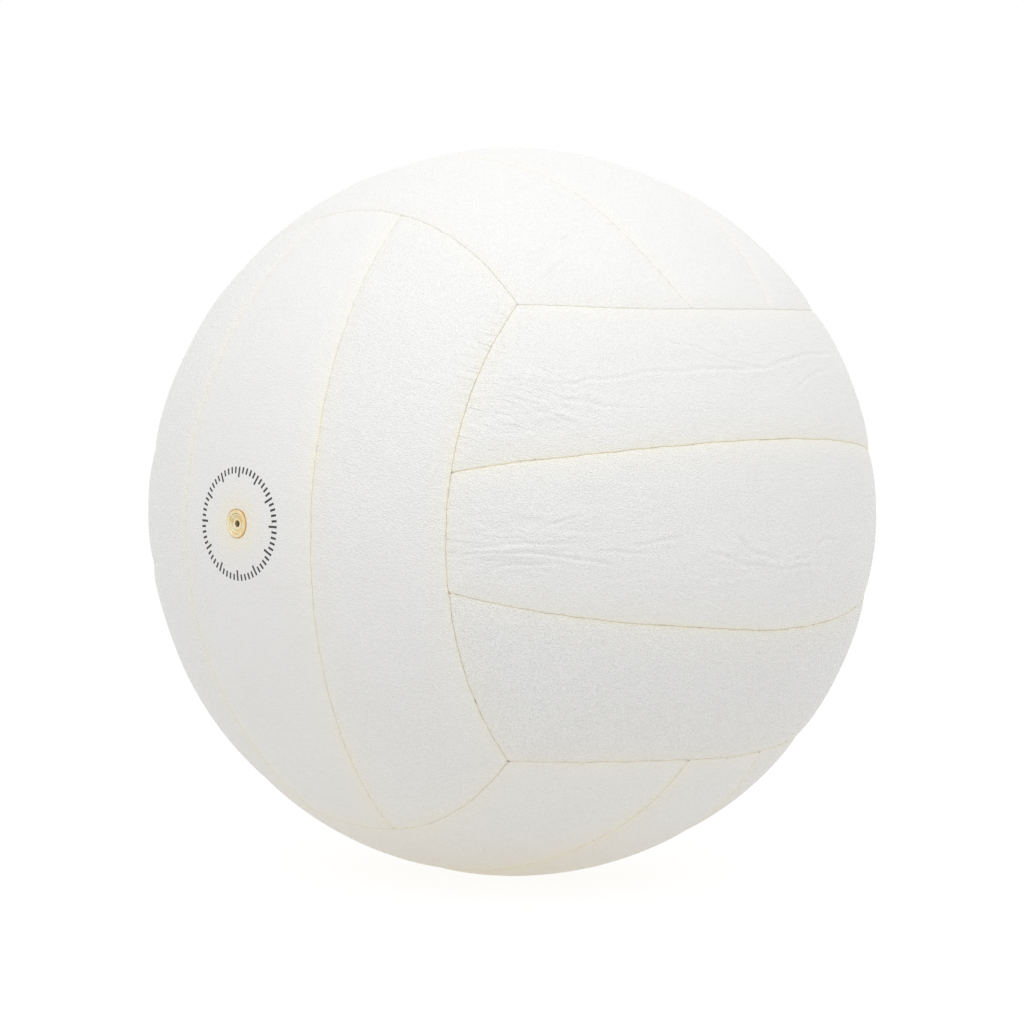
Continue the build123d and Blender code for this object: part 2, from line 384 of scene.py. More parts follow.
def end_reach(tilt):
    """Reach of the seam at a strip's end, for a tilt across the strip."""
    return np.arccos(GROUP_EDGE_COSINE / np.cos(tilt))


def rounded_edge(distance, rounding):
    """Drop of a quarter-round edge at a distance inside it."""
    edge = np.clip(1 - distance / rounding, 0, 1)
    return rounding * (1 - np.sqrt(1 - edge**2))


def line_distance(places, points):
    """Distance of flat places from a line through points."""
    nearest = np.full(len(places), np.inf)
    for start, end in zip(points, points[1:]):
        step = end - start
        share = np.clip((places - start) @ step / (step @ step), 0, 1)
        nearest = np.minimum(nearest, np.linalg.norm(places - start - share[:, None] * step, axis=1))
    return nearest


class Strip:
    """One panel's place on the ball and the shape of its leather."""

    def __init__(self, name, centre, across, side, seed):
        self.name = name
        self.group = name.split("_")[0]
        self.centre = unit(centre)
        self.across = unit(across) * (side or 1)
        self.along = np.cross(unit(across), self.centre)
        self.side = side
        self.seed = seed
        self.has_valve = name == "front_middle"

    def direction(self, tilt, reach):
        """Unit vectors at a tilt across the strip and a reach along it."""
        outward = np.cos(tilt)[:, None] * self.centre + np.sin(tilt)[:, None] * self.across
        return np.cos(reach)[:, None] * outward + np.sin(reach)[:, None] * self.along

    def angles(self, directions):
        """Tilt and reach of unit vectors."""
        tilt = np.arctan2(directions @ self.across, directions @ self.centre)
        return tilt, np.arcsin(directions @ self.along)

    def grid_angles(self, along_share, across_share):
        """Tilt and reach of grid points, with shares from -1 to 1 along the strip and 0 to 1 across."""
        seam_end = end_reach(STRIP_SEAM_TILT)
        if self.side:
            low_tilt, corner_tilt, corner = STRIP_SEAM_TILT, CORNER_TILT, CORNER_REACH
            high_tilt = np.arcsin(GROUP_EDGE_COSINE / np.cos(along_share * corner))
        else:
            low_tilt, corner_tilt, corner = -STRIP_SEAM_TILT, STRIP_SEAM_TILT, seam_end
            high_tilt = corner_tilt
        tilt = (1 - across_share) * low_tilt + across_share * high_tilt
        end_tilt = (1 - across_share) * low_tilt + across_share * corner_tilt
        return tilt, along_share * end_reach(end_tilt)

    def seam_distances(self, tilt, reach):
        """Distances to the low, high and end seams over the ball's surface."""
        low = STRIP_SEAM_TILT if self.side else -STRIP_SEAM_TILT
        to_low = np.arcsin(np.cos(reach) * np.sin(tilt - low))
        if self.side:
            to_high = np.arccos(np.cos(reach) * np.sin(tilt)) - GROUP_EDGE_ANGLE
        else:
            to_high = np.arcsin(np.cos(reach) * np.sin(STRIP_SEAM_TILT - tilt))
        to_end = GROUP_EDGE_ANGLE - np.arccos(np.cos(reach) * np.cos(tilt))
        return BALL_RADIUS * np.array([to_low, to_high, to_end])

    def stitch_waves(self, tilt, reach):
        """Pucker of the stitches along the low, high and end seams, the same on both sides of a seam."""
        along_strip = np.cos(2 * math.pi * reach * BALL_RADIUS / STITCH_PITCH)
        round_end = np.arctan2(np.cos(reach) * np.sin(tilt), np.sin(reach))
        round_edge = np.arctan2(np.cos(reach) * np.cos(tilt), np.sin(reach))
        turns = 4 * STITCHES_PER_QUARTER
        high = np.cos(turns * round_edge) if self.side else along_strip
        return np.array([along_strip, high, np.cos(turns * round_end)])

    def surface(self, directions):
        """Radius of the leather, and the values named in FEATURES for its material."""
        tilt, reach = self.angles(directions)
        distances = self.seam_distances(tilt, reach)
        nearest = -CORNER_BLEND * np.log(np.exp(-distances / CORNER_BLEND).sum(axis=0))
        inside = np.clip(nearest - SEAM_HALF_GAP, 0, None)
        drop = rounded_edge(inside, EDGE_ROUNDING) + SEAM_DIP * np.exp(-inside / SEAM_DIP_WIDTH)
        stitches = self.stitch_waves(tilt, reach) * np.exp(-distances / STITCH_REACH)
        pucker = STITCH_PUCKER * stitches.sum(axis=0)
        along = reach * BALL_RADIUS
        across = tilt * BALL_RADIUS
        worn = self.creasing(along, across)
        relief = self.relief(along, across, inside, worn) * smooth_step(inside, *RELIEF_START)
        if self.has_valve:
            from_axis = BALL_RADIUS * np.arccos(directions @ self.centre)
            from_hole = np.clip(from_axis - VALVE_HOLE_RADIUS, 0, None)
            drop += rounded_edge(from_hole, VALVE_HOLE_ROUNDING)
            drop += VALVE_DIMPLE * np.exp(-from_hole / VALVE_DIMPLE_WIDTH)
            inside = np.minimum(inside, from_hole + VALVE_SEAM_OFFSET)
        # The stains fade towards the top of the ball
        high_fade = HIGH_FADE_SHARE * smooth_step(directions[:, 2], *HIGH_FADE_HEIGHTS)
        features = [
            inside,
            np.sort(distances, axis=0)[1],
            along,
            self.wrinkles(along, across),
            worn,
            STAINING.get(self.group, DEFAULT_STAINING) * (1 - high_fade),
            np.full(len(along), GRAINING.get(self.name, DEFAULT_GRAINING)),
            self.gathering(directions),
            np.full(len(along), SEAM_LINE_SHARE.get(self.group, 1.0)),
        ]
        return BALL_RADIUS - drop + pucker + relief, np.stack(features, axis=1)

    def gathering(self, directions):
        """How strongly the leather is gathered beside its seams."""
        share = np.full(len(directions), DEFAULT_GATHERING)
        for place in GATHERED_PLACES:
            apart = BALL_RADIUS * np.linalg.norm(directions - unit(place), axis=1)
            share += np.exp(-((apart / GATHERED_REACH) ** 2))
        return share

    def wrinkles(self, along, across):
        """Place across the strip, drifting and slanted so that wrinkles along it do the same."""
        drift = WRINKLE_DRIFT * noise_at(along, across, WRINKLE_DRIFT_SIZE, self.seed + 7)
        slant = WRINKLE_SLANT.get(self.name, 0)
        return across + drift + slant * np.minimum(along - WRINKLE_SLANT_END, 0)

    def creasing(self, along, across):
        """Share of wear from 0 to 1, in soft patches."""
        patches = noise_at(along, across, WORN_PATCH_SIZE, self.seed + 4)
        worn = smooth_step(patches, *WORN_PATCH_LEVELS) * CREASING.get(self.name, DEFAULT_CREASING)
        if self.name in CREASED_BANDS:
            middle, width = CREASED_BANDS[self.name]
            on_band = np.exp(-(((across - middle) / width) ** 2))
            worn = worn * (CREASING_OFF_BAND + (1 - CREASING_OFF_BAND) * on_band)
        return worn

    def relief(self, along, across, inside, worn):
        """Folds that run along the strip, soft waves between them and short ripples beside the seams."""
        seed = self.seed
        bend = noise_at(along, across, FOLD_BEND_SIZE, seed + 1)
        fold = noise_at(along + FOLD_BEND[0] * bend, across + FOLD_BEND[1] * bend, FOLD_SIZE, seed + 2)
        fold = fold + FINE_FOLD_SHARE * noise_at(along, across, FINE_FOLD_SIZE, seed + 3)
        banks = BANK_SHARE * np.tanh(fold / FOLD_BANK_LEVEL)
        folds = FOLD_DEPTH * (banks - np.exp(-((fold / FOLD_GROOVE_LEVEL) ** 2)))
        waves = SMALL_WAVE_DEPTH * noise_at(along, across, SMALL_WAVE_SIZE, seed + 5)
        waves = waves + LARGE_WAVE_DEPTH * noise_at(along, across, LARGE_WAVE_SIZE, seed + 6)
        ripples = RIPPLE_DEPTH * noise_at(along, across, RIPPLE_SIZE, seed + 8)
        ripples = ripples * np.exp(-inside / RIPPLE_FADE)
        return folds * worn + waves + ripples + self.long_creases(along, across)

    def long_creases(self, along, across):
        """Grooves with soft banks along the long creases."""
        height = np.zeros(len(along))
        wobble = LONG_CREASE_WOBBLE * noise_at(along, across, LONG_CREASE_WOBBLE_SIZE, self.seed + 9)
        places = np.stack([along, across + wobble], axis=1)
        for line in LONG_CREASES_MM.get(self.name, ()):
            points = np.array(line) / 1000
            apart = line_distance(places, points) / LONG_CREASE_WIDTH
            from_ends = [np.linalg.norm(places - end, axis=1) for end in (points[0], points[-1])]
            fade = smooth_step(np.minimum(*from_ends), 0, LONG_CREASE_FADE)
            banks = BANK_SHARE * np.exp(-((apart / BANK_WIDTH_SHARE) ** 2))
            height += fade * (banks - np.exp(-(apart**2)))
        return height * LONG_CREASE_DEPTH * LONG_CREASE_STRENGTH.get(self.name, 1)


def all_strips():
    """The eighteen strips of the six groups."""
    strips = []
    for group, (centre, across, (low_name, high_name)) in GROUPS.items():
        for side, place in ((-1, low_name), (0, "middle"), (1, high_name)):
            strips.append(Strip(f"{group}_{place}", centre, across, side, seed=10 * len(strips)))
    return strips


def grid_lines(length, spacing):
    """Lines across a panel from 0 to 1, outside and inside the leather, and their share of turning in."""
    near = np.array(EDGE_LINES)
    under = SKIN_THICKNESS + near * (1 - SKIN_THICKNESS / near[-1])
    share = np.concatenate([TURNED_IN_SHARES, np.zeros(len(near))])
    count = round((length - 2 * near[-1]) / spacing)
    lines = []
    for border in (near, under):
        turned = np.full(len(TURNED_IN_SHARES), border[0])
        border = (SEAM_HALF_GAP + np.concatenate([turned, border])) / length
        between = np.linspace(border[-1], 1 - border[-1], count + 1)[1:-1]
        lines.append(np.concatenate([border, between, 1 - border[::-1]]))
    return *lines, np.concatenate([share, np.zeros(count - 1), share[::-1]])


def unit_rows(vectors):
    return vectors / np.linalg.norm(vectors, axis=1)[:, None]


def seam_wander(directions, inside):
    """Small sideways drift of the seams, from the place alone so that both neighbours follow it."""
    noise.seed_set(SEAM_WANDER_SEED)
    drift = np.zeros(directions.shape)
    near = inside < 4 * SEAM_WANDER_REACH
    for size, share in ((1, 1), (FINE_WANDER_SCALE, FINE_WANDER_SHARE)):
        places = directions[near] * BALL_RADIUS / SEAM_WANDER_SIZE * size
        drift[near] += share * np.array([noise.noise_vector(place) for place in places.tolist()])
    return drift * (SEAM_WANDER / BALL_RADIUS * np.exp(-inside / SEAM_WANDER_REACH))[:, None]


def seam_pushes(directions):
    """Broad drift of the seams that lie off the regular layout, none of it at the valve."""
    drift = np.zeros(directions.shape)
    for place, push in SEAM_PUSHES_MM:
        apart = BALL_RADIUS * np.linalg.norm(directions - unit(place), axis=1)
        share = np.exp(-((apart / SEAM_PUSH_REACH) ** 2))
        drift += share[:, None] * np.array(push) / 1000 / BALL_RADIUS
    from_valve = BALL_RADIUS * np.linalg.norm(directions - np.array((0, -1, 0)), axis=1)
    return drift * smooth_step(from_valve, VALVE_WINDOW_HALF, 3 * VALVE_WINDOW_HALF)[:, None]


class Shell:
    """A panel's leather, outside and inside, gathered before it becomes a mesh."""

    def __init__(self, strip):
        self.strip = strip
        self.outside = np.zeros((0, 3))
        self.inside = np.zeros((0, 3))
        self.turned_in = np.zeros(0)
        self.faces = []

    def add(self, outside, inside, turned_in):
        start = len(self.outside)
        self.outside = np.vstack([self.outside, outside])
        self.inside = np.vstack([self.inside, inside])
        self.turned_in = np.concatenate([self.turned_in, turned_in])
        return np.arange(start, len(self.outside))

    def add_faces(self, *corners):
        self.faces.append(np.stack(corners, axis=-1).reshape(-1, 4))

    def build(self, name, rims):
        """Closed mesh: the modelled outside, a plain inside and a narrow face along each rim."""
        radius, features = self.strip.surface(self.outside)
        drift = seam_wander(self.outside, features[:, 0]) + seam_pushes(self.outside)
        count = len(self.outside)
        points = np.vstack([
            unit_rows(self.outside + drift) * self.turn_in(radius),
            unit_rows(self.inside + drift) * self.turn_in(SKIN_INNER_RADIUS),
        ])
        faces = np.concatenate(self.faces)
        walls = []
        for rim in rims:
            following = np.roll(rim, -1)
            walls.append(np.stack([rim, rim + count, following + count, following], axis=-1))
        faces = np.concatenate([faces, faces[:, ::-1] + count, *walls])
        if self.strip.side < 0:
            faces = faces[:, ::-1]
        used, faces = np.unique(faces, return_inverse=True)
        mesh = bpy.data.meshes.new(name)
        mesh.from_pydata(points[used].tolist(), [], faces.reshape(-1, 4).tolist())
        for place, feature in enumerate(FEATURES):
            values = np.tile(features[:, place], 2)[used].astype(np.float32)
            mesh.attributes.new(feature, "FLOAT", "POINT").data.foreach_set("value", values)
        mesh.polygons.foreach_set("use_smooth", np.ones(len(mesh.polygons), bool))
        mesh.update()
        return add_object(name, mesh)

    def turn_in(self, radius):
        """Radius of each vertex, drawn in towards the foot of the turned-in edge."""
        return (radius * (1 - self.turned_in) + TURNED_IN_RADIUS * self.turned_in)[:, None]


def add_object(name, data):
    made = bpy.data.objects.new(name, data)
    bpy.context.scene.collection.objects.link(made)
    return made


def panel_grid(shell, size):
    """Grid of vertex numbers from seam to seam, with its turned-in rows joined at the four corners."""
    spacing = WORN_GRID_SPACING if shell.strip.name in LONG_CREASES_MM else GRID_SPACING
    along, across = (grid_lines(length, spacing) for length in size)
    turned_in = np.maximum.outer(along[2], across[2]).ravel()
    directions = []
    for layer in (0, 1):
        along_share, across_share = np.meshgrid(along[layer] * 2 - 1, across[layer], indexing="ij")
        angles = shell.strip.grid_angles(along_share.ravel(), across_share.ravel())
        directions.append(shell.strip.direction(*angles))
    number = shell.add(*directions, turned_in).reshape(along_share.shape)
    turns = len(TURNED_IN_SHARES)
    for corner in (number, number[::-1], number[:, ::-1], number[::-1, ::-1]):
        corner[:turns, turns] = corner[turns, :turns]
    return number


def outline(number, turns=0):
    """Vertex numbers round a grid's border, leaving out the joined corners."""
    rows, columns = (slice(turns, count - 1 - turns) for count in number.shape)
    back_rows, back_columns = (slice(count - 1 - turns, turns, -1) for count in number.shape)
    sides = (number[rows, 0], number[-1, columns], number[back_rows, -1], number[0, back_columns])
    return np.concatenate(sides)


def panel_piece(strip):
    """Leather panel with turned-in edges, and a hole where the valve is."""
    shell = Shell(strip)
    number = panel_grid(shell, SIDE_STRIP_SIZE if strip.side else MIDDLE_STRIP_SIZE)
    turns = len(TURNED_IN_SHARES)
    kept = np.ones((number.shape[0] - 1, number.shape[1] - 1), bool)
    for corner in (kept, kept[::-1], kept[:, ::-1], kept[::-1, ::-1]):
        corner[:turns, :turns] = False
    rims = [outline(number, turns)]
    if strip.has_valve:
        rows, columns = valve_window(strip, shell.outside, number)
        kept[rows, columns] = False
        window = number[rows.start : rows.stop + 1, columns.start : columns.stop + 1]
        rims.append(add_valve_hole(shell, window))
    corners = (number[:-1, :-1], number[1:, :-1], number[1:, 1:], number[:-1, 1:])
    shell.add_faces(*(corner[kept] for corner in corners))
    piece = shell.build(f"cover_{strip.name}", rims)
    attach(piece, "ball")
    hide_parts(f"panel_{strip.name}")
    return piece


def valve_window(strip, directions, number):
    """Rows and columns of the grid cells at the strip's centre that the valve hole takes the place of."""
    close = np.abs(np.stack(strip.angles(directions))).max(axis=0) * BALL_RADIUS < VALVE_WINDOW_HALF
    inside = np.argwhere(close.reshape(number.shape))
    (low_row, low_column), (high_row, high_column) = inside.min(axis=0), inside.max(axis=0)
    return slice(low_row, high_row), slice(low_column, high_column)


def add_valve_hole(shell, window):
    """Rings from the square window down to the round hole; gives the hole's rim."""
    strip = shell.strip
    loop = outline(window)
    edge = shell.outside[loop]
    turn = np.arctan2(edge @ strip.across, edge @ strip.along)
    start = BALL_RADIUS * np.arccos(edge @ strip.centre)
    outward = np.cos(turn)[:, None] * strip.along + np.sin(turn)[:, None] * strip.across
    steps = round((VALVE_WINDOW_HALF - VALVE_HOLE_RADIUS) / VALVE_RING_STEP)
    previous = loop
    for share in np.linspace(0, 1, steps + 1)[1:] ** VALVE_RING_SPREAD:
        angle = (start + (VALVE_HOLE_RADIUS - start) * share) / BALL_RADIUS
        around = np.cos(angle)[:, None] * strip.centre + np.sin(angle)[:, None] * outward
        ring = shell.add(around, around, np.zeros(len(loop)))
        shell.add_faces(previous, np.roll(previous, -1), np.roll(ring, -1), ring)
        previous = ring
    return previous[::-1]


def rounded_profile(corners):
    """Points of an outline of (radius, height, rounding) corners, each rounded corner as a short curve."""
    points = []
    for i, (radius, height, rounding) in enumerate(corners):
        corner = np.array([radius, height])
        if not rounding:
            points.append(corner)
            continue
        before, after = (np.array(corners[(i + step) % len(corners)][:2]) for step in (-1, 1))
        start = corner + rounding * unit(before - corner)
        end = corner + rounding * unit(after - corner)
        for t in np.linspace(0, 1, ROUNDING_POINTS):
            points.append((1 - t) ** 2 * start + 2 * t * (1 - t) * corner + t**2 * end)
    return points


def lathe_piece(name, corners):
    """Closed solid turned round the valve axis; an outline that starts on the axis ends on it too."""
    mesh = bpy.data.meshes.new(name)
    shape = bmesh.new()
    rings = []
    angles = np.linspace(0, 2 * math.pi, LATHE_SEGMENTS, endpoint=False)
    for radius, height in rounded_profile(corners):
        if radius == 0:
            rings.append([shape.verts.new((0, -height, 0))] * LATHE_SEGMENTS)
            continue
        places = [(radius * math.cos(angle), -height, radius * math.sin(angle)) for angle in angles]
        rings.append([shape.verts.new(place) for place in places])
    for ring, following in zip(rings, rings[1:] + rings[:1]):
        if ring[0] is ring[1] and following[0] is following[1]:
            continue
        for i in range(LATHE_SEGMENTS):
            j = (i + 1) % LATHE_SEGMENTS
            shape.faces.new(dict.fromkeys((ring[i], ring[j], following[j], following[i])))
    bmesh.ops.recalc_face_normals(shape, faces=shape.faces)
    shape.to_mesh(mesh)
    shape.free()
    mesh.polygons.foreach_set("use_smooth", np.ones(len(mesh.polygons), bool))
    mesh.set_sharp_from_angle(angle=SHARP_ANGLE)
    return add_object(name, mesh)


def flange_corners():
    """Under and upper side of the seat's flange, which follows the bladder's curve."""
    inner_ball = FLANGE_OUTER_BALL - FLANGE_THICKNESS
    under_radii = np.linspace(STEM_RADIUS, FLANGE_RADIUS, FLANGE_POINTS)
    upper_radii = np.linspace(FLANGE_RADIUS, NOSE_RADIUS, FLANGE_POINTS)
    under = [(r, math.sqrt(inner_ball**2 - r**2), 0) for r in under_radii]
    upper = [(r, math.sqrt(FLANGE_OUTER_BALL**2 - r**2), 0) for r in upper_radii]
    return under + upper


def seat_piece(material):
    """Rubber stem with its rim round the core, bonded into the bladder."""
    bore = CORE_RADIUS + CORE_CLEARANCE
    rounding = 0.0003
    piece = lathe_piece("valve_seat_rubber", [
        (AIR_HOLE_RADIUS, STEM_END_HEIGHT, rounding),
        (STEM_RADIUS, STEM_END_HEIGHT, 2 * rounding),
        *flange_corners(),
        (NOSE_RADIUS, RIM_HEIGHT, rounding),
        (bore, RIM_HEIGHT, rounding),
        (bore, BORE_FLOOR_HEIGHT, 0),
        (AIR_HOLE_RADIUS, BORE_FLOOR_HEIGHT, 0),
    ])
    piece.data.materials.append(material)
    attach(piece, "ball")
    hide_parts("valve_seat")


def core_piece(material):
    """Rubber plug with a dished face, a boss round the needle hole and the slit that seals it."""
    rounding = 0.00015
    piece = lathe_piece("valve_core_rubber", [
        (0, CORE_FOOT_HEIGHT, 0),
        (CORE_RADIUS - CORE_LEAD_CHAMFER, CORE_FOOT_HEIGHT, rounding),
        (CORE_RADIUS, CORE_FOOT_HEIGHT + CORE_LEAD_CHAMFER, rounding),
        (CORE_RADIUS, CORE_FACE_HEIGHT, rounding),
        (DISH_RADIUS, CORE_FACE_HEIGHT, rounding),
        (DISH_RADIUS, DISH_FLOOR_HEIGHT, rounding),
        (BOSS_RADIUS, DISH_FLOOR_HEIGHT, 0.8 * rounding),
        (BOSS_RADIUS, BOSS_HEIGHT, 0.8 * rounding),
        (NEEDLE_HOLE_RADIUS, BOSS_HEIGHT, rounding),
        (NEEDLE_HOLE_RADIUS, NEEDLE_HOLE_FLOOR, 0),
        (0, NEEDLE_HOLE_FLOOR, 0),
    ])
    cut_slit(piece)
    piece.data.materials.append(material)
    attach(piece, "valve_core")
    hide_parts("valve_core")


def cut_slit(piece):
    """Narrow slit from the needle hole down through the core's foot."""
    width, length = SLIT_SIZE
    margin = 0.0005
    low, high = CORE_FOOT_HEIGHT - margin, NEEDLE_HOLE_FLOOR
    shape = bmesh.new()
    bmesh.ops.create_cube(shape, size=1)
    bmesh.ops.scale(shape, vec=(width, high - low, length), verts=shape.verts)
    bmesh.ops.translate(shape, vec=(0, -(low + high) / 2, 0), verts=shape.verts)
    blade_mesh = bpy.data.meshes.new("slit")
    shape.to_mesh(blade_mesh)
    shape.free()
    blade = add_object("slit", blade_mesh)
    cut = piece.modifiers.new("slit", "BOOLEAN")
    cut.object = blade
    cut.solver = "EXACT"
    evaluated = piece.evaluated_get(bpy.context.evaluated_depsgraph_get())
    mesh = bpy.data.meshes.new_from_object(evaluated)
    piece.modifiers.clear()
    piece.data = mesh
    bpy.data.objects.remove(blade)


def toward(azimuth, elevation):
    """Direction from the ball to a place round it, counted from the front, and above it."""
    level = math.cos(elevation)
    return Vector((math.sin(azimuth) * level, -math.cos(azimuth) * level, math.sin(elevation)))


def make_camera():
    """Camera at the place that the ball is seen from, looking at its centre."""
    back = toward(CAMERA_AZIMUTH, CAMERA_ELEVATION)
    data = bpy.data.cameras.new("camera")
    data.lens = CAMERA_LENS
    data.sensor_width = SENSOR_WIDTH
    data.clip_end = 100
    camera = add_object("camera", data)
    turn = (-back).to_track_quat("-Z", "Y").to_matrix().to_4x4()
    roll = Matrix.Rotation(CAMERA_ROLL, 4, "Z")
    camera.matrix_world = Matrix.Translation(back * CAMERA_DISTANCE) @ turn @ roll
    bpy.context.scene.camera = camera


class Nodes:
    """Short way to add and join shader nodes."""

    def __init__(self, tree):
        self.tree = tree
        tree.nodes.clear()

    def add(self, kind, inputs=None, **settings):
        node = self.tree.nodes.new(kind)
        for name, value in settings.items():
            setattr(node, name, value)
        for name, value in (inputs or {}).items():
            self.set_input(node.inputs[name], value)
        return node

    def set_input(self, socket, value):
        if isinstance(value, bpy.types.NodeSocket):
            self.tree.links.new(value, socket)
        else:
            socket.default_value = value

    def maths(self, operation, *values):
        node = self.add("ShaderNodeMath", operation=operation)
        for socket, value in zip(node.inputs, values):
            self.set_input(socket, value)
        return node.outputs[0]

    def ramp(self, value, low, high, start, end):
        """Runs smoothly from start to end as the value goes from low to high."""
        inputs = {"Value": value, "From Min": low, "From Max": high, "To Min": start, "To Max": end}
        return self.add("ShaderNodeMapRange", inputs, interpolation_type="SMOOTHSTEP").outputs[0]

    def mix(self, factor, first, second):
        node = self.add("ShaderNodeMix", data_type="RGBA")
        for place, value in ((0, factor), (6, first), (7, second)):
            self.set_input(node.inputs[place], value)
        return node.outputs[2]

    def noise(self, vector, scale, detail=2.0):
        inputs = {"Vector": vector, "Scale": scale, "Detail": detail}
        return self.add("ShaderNodeTexNoise", inputs).outputs[0]

    def attribute(self, name):
        return self.add("ShaderNodeAttribute", attribute_name=name).outputs["Fac"]

    def finish(self, shader):
        self.add("ShaderNodeOutputMaterial", {"Surface": shader.outputs[0]})


def new_material(name):
    material = bpy.data.materials.new(name)
    material.use_nodes = True
    return material, Nodes(material.node_tree)


def leather_material(name, printed=False):
    """White synthetic leather: fine grain, wrinkles along the strip, cream along the seams."""
    material, nodes = new_material(name)
    place = nodes.add("ShaderNodeTexCoord").outputs["Object"]
    pebble = leather_pebble(nodes, place)
    stretching = {0: place, 1: GRAIN_STRETCH}
    drawn_out = nodes.add("ShaderNodeVectorMath", stretching, operation="MULTIPLY").outputs[0]
    grain = nodes.noise(drawn_out, GRAIN_SCALE)
    pores = nodes.noise(place, PORE_SCALE)
    colour = leather_white_with_hollow_shade(nodes, place, grain, pebble)
    colour = seam_stains_and_painted_shade(nodes, place, grain, colour)
    if printed:
        radius = axis_distance(nodes, place)
        stain = nodes.ramp(radius, NOSE_RADIUS, VALVE_STAIN_RADIUS, VALVE_STAIN_SHARE, 0.0)
        colour = nodes.mix(stain, colour, VALVE_STAIN_COLOUR)
        colour = nodes.mix(dial_print(nodes, place, pores), colour, DIAL_INK)
    shader = nodes.add("ShaderNodeBsdfPrincipled", {
        "Base Color": colour,
        "Roughness": nodes.ramp(pebble, 0.0, 1.0, *LEATHER_ROUGHNESS),
        "Specular IOR Level": LEATHER_SPECULAR,
        "Normal": leather_bump(nodes, grain, pores, pebble),
    })
    nodes.finish(shader)
    return material


def leather_pebble(nodes, place):
    """Rounded cells of the embossed grain, from 0 between them to 1 on top."""
    inputs = {"Vector": place, "Scale": PEBBLE_SCALE}
    cells = nodes.add("ShaderNodeTexVoronoi", inputs, feature="DISTANCE_TO_EDGE")
    return nodes.ramp(cells.outputs[0], 0.0, PEBBLE_EDGE, 0.0, 1.0)


def leather_white_with_hollow_shade(nodes, place, grain, pebble):
    """White that is a little lighter on the raised grain than in its hollows, where the darker white is
    painted shade, and faintly mottled; stronger grain lifts it further as painted light that makes up for
    its deeper bump.
    """
    raised = nodes.ramp(grain, *GRAIN_LEVELS, 0.0, 1.0)
    raised = nodes.maths("MULTIPLY", raised, nodes.ramp(pebble, 0.0, 1.0, PEBBLE_HOLLOW_SHADE_SHARE, 1.0))
    # Stronger grain lifts the white further: painted light that makes up for what its deeper bump loses
    raised = nodes.maths("MULTIPLY", raised, nodes.attribute("graining"))
    mottled = nodes.ramp(nodes.noise(place, MOTTLE_SCALE, 3.0), 0.0, 1.0, *MOTTLE_LEVELS)
    level = nodes.maths("MULTIPLY_ADD", raised, RAISED_SHARE, mottled)
    # Painted shade: the grain's hollows take the darker white
    return nodes.mix(level, HOLLOW_SHADE_WHITE, RAISED_WHITE)


def seam_stains_and_painted_shade(nodes, place, grain, colour):
    """Cream beside the seams, reaching wider low down as painted warm bounce light, gold to brown in them,
    dark specks in them, and a dark dot of painted shade in the small hole at their corners.
    """
    clouds = nodes.ramp(nodes.noise(place, STAIN_CLOUD_SCALE), *CLOUD_LEVELS, *STAIN_CLOUD_SHARES)
    staining = nodes.maths("MULTIPLY", clouds, nodes.attribute("staining"))
    seam = nodes.attribute("seam_distance")
    height = nodes.add("ShaderNodeSeparateXYZ", {0: place}).outputs["Z"]
    # Lower on the ball the cream reaches wider: painted warm bounce light from the floor on top of the
    # stain
    reach = nodes.ramp(height, *LOW_STAIN_AND_BOUNCE_HEIGHTS, -LOW_STAIN_AND_BOUNCE_REACH, -STAIN_REACH)
    fading = nodes.maths("EXPONENT", nodes.maths("DIVIDE", seam, reach))
    speckled = nodes.maths("MULTIPLY", fading, nodes.ramp(grain, *GRAIN_LEVELS, *STAIN_GRAIN_SHARES))
    colour = nodes.mix(nodes.maths("MULTIPLY", speckled, staining), colour, STAIN_COLOUR)
    colour = nodes.mix(nodes.maths("MULTIPLY", seam_line(nodes, place, seam), staining),
                       colour, seam_line_colour(nodes, place))
    # Dark specks in the seams, with painted shade in the small holes where seams meet
    specks = nodes.maths("MULTIPLY", seam_specks(nodes, place, seam), staining)
    return nodes.mix(specks, colour, SPECK_AND_HOLE_SHADE_COLOUR)


def seam_line(nodes, place, seam):
    """Density of the line in a seam, with ragged sides."""
    half = nodes.maths("ADD", seam, SEAM_LINE_RAGGED / 2)
    ragged = nodes.noise(place, SEAM_LINE_RAGGED_SCALE)
    ragged = nodes.maths("MULTIPLY_ADD", ragged, -SEAM_LINE_RAGGED, half)
    density = nodes.ramp(ragged, 0.0, SEAM_LINE_WIDTH, SEAM_LINE_DENSITY, 0.0)
    return nodes.maths("MULTIPLY", density, nodes.attribute("seam_line"))


def seam_line_colour(nodes, place):
    """Gold that turns brown in places."""
    brown = nodes.ramp(nodes.noise(place, SEAM_BROWN_SCALE), *SEAM_BROWN_LEVELS, 0.0, 1.0)
    return nodes.mix(brown, SEAM_GOLD, SEAM_BROWN)


def seam_specks(nodes, place, seam):
    """Density of the dark specks in a seam, and always a dark dot of painted shade in the small hole where
    seams meet.
    """
    pits = nodes.ramp(nodes.noise(place, SPECK_SCALE), *SPECK_LEVELS, 0.0, 1.0)
    # Painted shade: a dark dot in the small hole at each corner where seams meet
    corner = nodes.ramp(nodes.attribute("corner_distance"), *CORNER_HOLE_SHADE_BAND, 1.0, 0.0)
    density = nodes.ramp(seam, *SPECK_BAND, SPECK_DENSITY, 0.0)
    return nodes.maths("MULTIPLY", density, nodes.maths("MAXIMUM", pits, corner))


